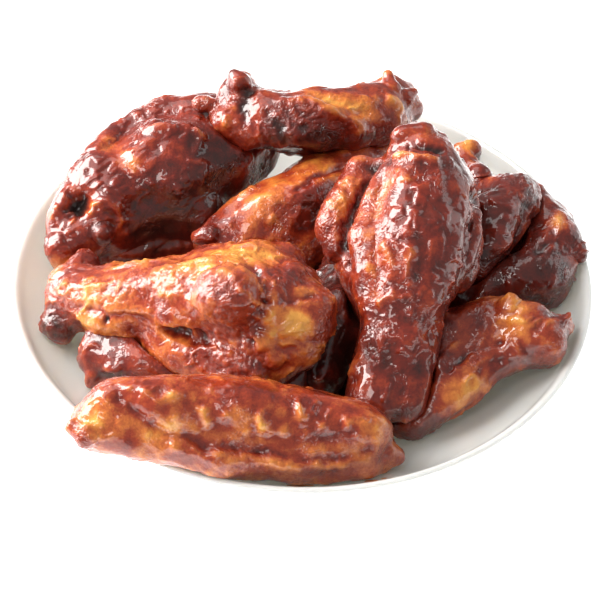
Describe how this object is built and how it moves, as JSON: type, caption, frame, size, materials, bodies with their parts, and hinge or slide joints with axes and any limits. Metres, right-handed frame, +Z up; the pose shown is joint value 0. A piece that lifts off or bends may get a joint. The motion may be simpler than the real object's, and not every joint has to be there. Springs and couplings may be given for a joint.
{
  "type": "chicken wings serving",
  "caption": "Glazed fried chicken wings, drumettes and flats, heaped on a shallow round white plate for serving.",
  "frame": {"origin": "on the surface the plate stands on, under the middle of its foot", "axes": "+Z up, +X to the right of the serving as it faces the diner, +Y to its back"},
  "size_m": [0.2, 0.2, 0.0739],
  "materials": {
    "porcelain": "smooth clear glaze",
    "dark_glaze": "thick wet red-brown sauce over browned skin",
    "amber_glaze": "thin wet sauce over golden fried skin"
  },
  "bodies": {
    "root": {"plate": "porcelain", "drumette_leaning": "dark_glaze", "drumette_left": "amber_glaze", "flat_back": "amber_glaze", "flat_front": "amber_glaze", "drumette_middle": "amber_glaze", "drumette_right": "dark_glaze", "flat_under_middle": "dark_glaze", "flat_front_right": "amber_glaze", "drumette_back_left": "dark_glaze", "flat_right": "dark_glaze", "drumette_under_left": "dark_glaze"}
  },
  "joints": []
}
